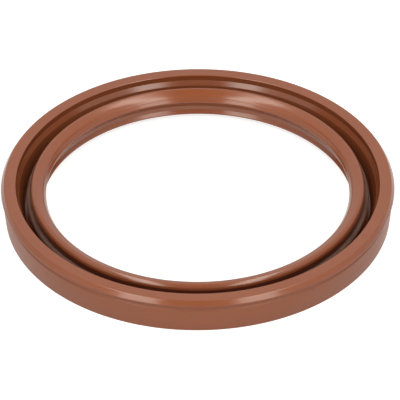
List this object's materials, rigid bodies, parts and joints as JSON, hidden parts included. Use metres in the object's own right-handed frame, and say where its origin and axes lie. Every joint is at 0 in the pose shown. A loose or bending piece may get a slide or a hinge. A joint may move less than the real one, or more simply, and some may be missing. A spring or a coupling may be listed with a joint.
{
  "type": "crankshaft oil seal",
  "caption": "Moulded rubber rotary shaft seal with a spring-loaded sealing lip, a dust lip and a beaded press-fit jacket.",
  "frame": {"origin": "on the seal's axis, in the plane of its flat air-side face, which it rests on", "axes": "+Z along the shaft axis towards the oil side, where the channel and the garter spring open; X and Y are equivalent"},
  "size_m": [0.127, 0.127, 0.012],
  "materials": {
    "rubber": "satin moulded red-brown fluoroelastomer",
    "spring_steel": "drawn spring wire, lightly oiled"
  },
  "bodies": {
    "root": {"seal_ring": "rubber", "garter_spring": "spring_steel"}
  },
  "joints": []
}
